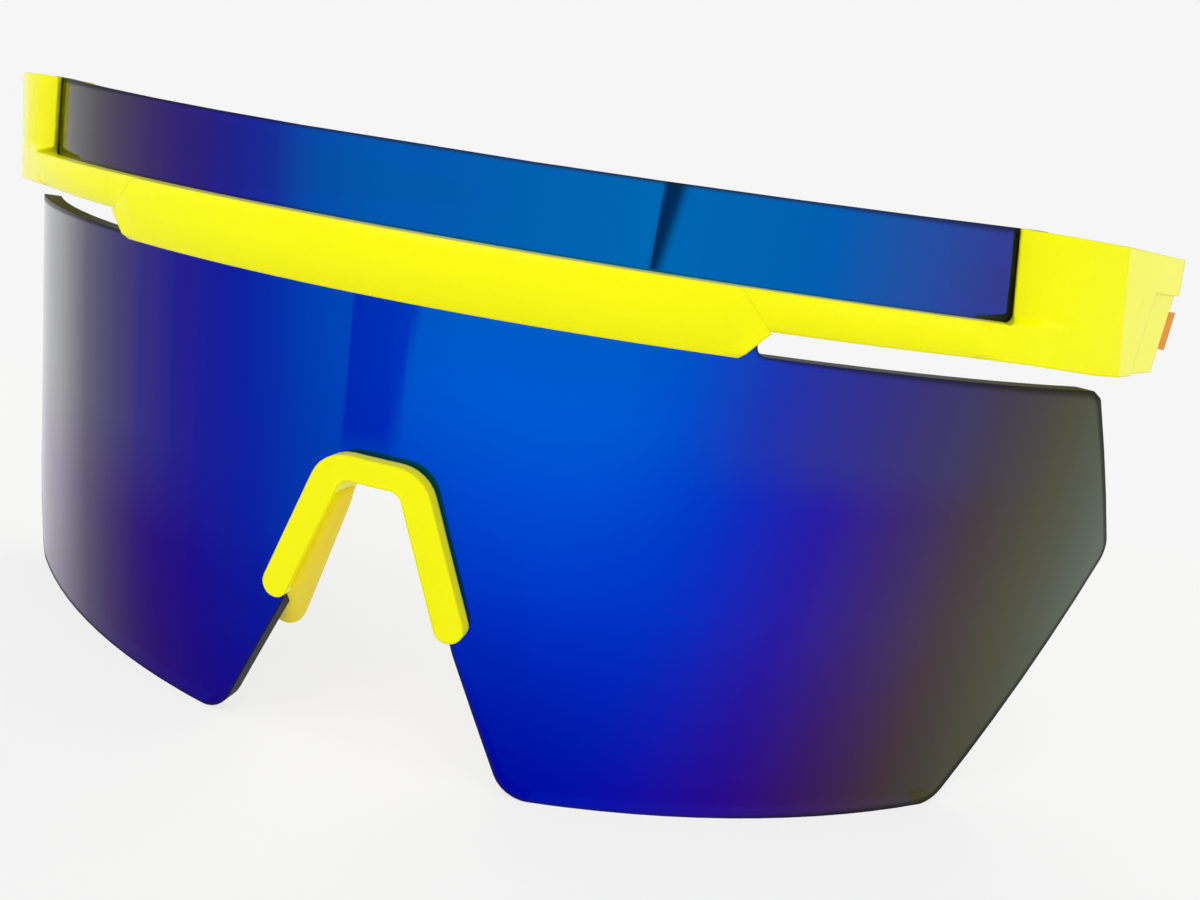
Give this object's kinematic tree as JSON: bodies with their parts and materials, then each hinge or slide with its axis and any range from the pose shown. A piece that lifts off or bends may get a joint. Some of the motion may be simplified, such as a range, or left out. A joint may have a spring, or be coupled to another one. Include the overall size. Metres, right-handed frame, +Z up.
{
  "type": "shield sunglasses",
  "caption": "One-piece mirrored shield lens in a bright full-width brow bar with folding side arms and a soft-padded nose bridge.",
  "frame": {"origin": "nose seat: the underside of the nose bridge's top, in the middle of the lens's front face", "axes": "+X to the wearer's left, +Y from the lens towards the wearer and along the open temples, +Z up"},
  "size_m": [0.152, 0.1728, 0.0637],
  "materials": {
    "mirror_lens": "polished, mirror coated blue to violet over smoke grey",
    "yellow_plastic": "glossy moulded",
    "amber_rubber": "soft satin",
    "orange_plastic": "satin moulded",
    "hinge_steel": "brushed"
  },
  "bodies": {
    "front": {"lens": "mirror_lens", "front_frame": "yellow_plastic", "inner_rail": "yellow_plastic", "rail_screws": "hinge_steel", "nose_bridge": "yellow_plastic", "nose_pad_left": "amber_rubber", "nose_pad_right": "amber_rubber", "front_hinge_left": "hinge_steel", "front_hinge_right": "hinge_steel", "front_leaf_screws": "hinge_steel", "hinge_screw_left": "hinge_steel", "hinge_screw_right": "hinge_steel"},
    "left_temple": {"temple_left": "yellow_plastic", "temple_hinge_left": "hinge_steel", "temple_leaf_screws_left": "hinge_steel", "temple_tip_left": "amber_rubber", "accent_left": "orange_plastic"},
    "right_temple": {"temple_right": "yellow_plastic", "temple_hinge_right": "hinge_steel", "temple_leaf_screws_right": "hinge_steel", "temple_tip_right": "amber_rubber", "accent_right": "orange_plastic"}
  },
  "joints": [
    {"name": "left_temple_fold", "type": "hinge", "parent": "front", "child": "left_temple", "pos_m": [0.06975, 0.0446, 0.0265], "axis": [0, 0, 1], "range_deg": [0, 92]},
    {"name": "right_temple_fold", "type": "hinge", "parent": "front", "child": "right_temple", "pos_m": [-0.06975, 0.0446, 0.0265], "axis": [0, 0, -1], "range_deg": [0, 82]}
  ]
}
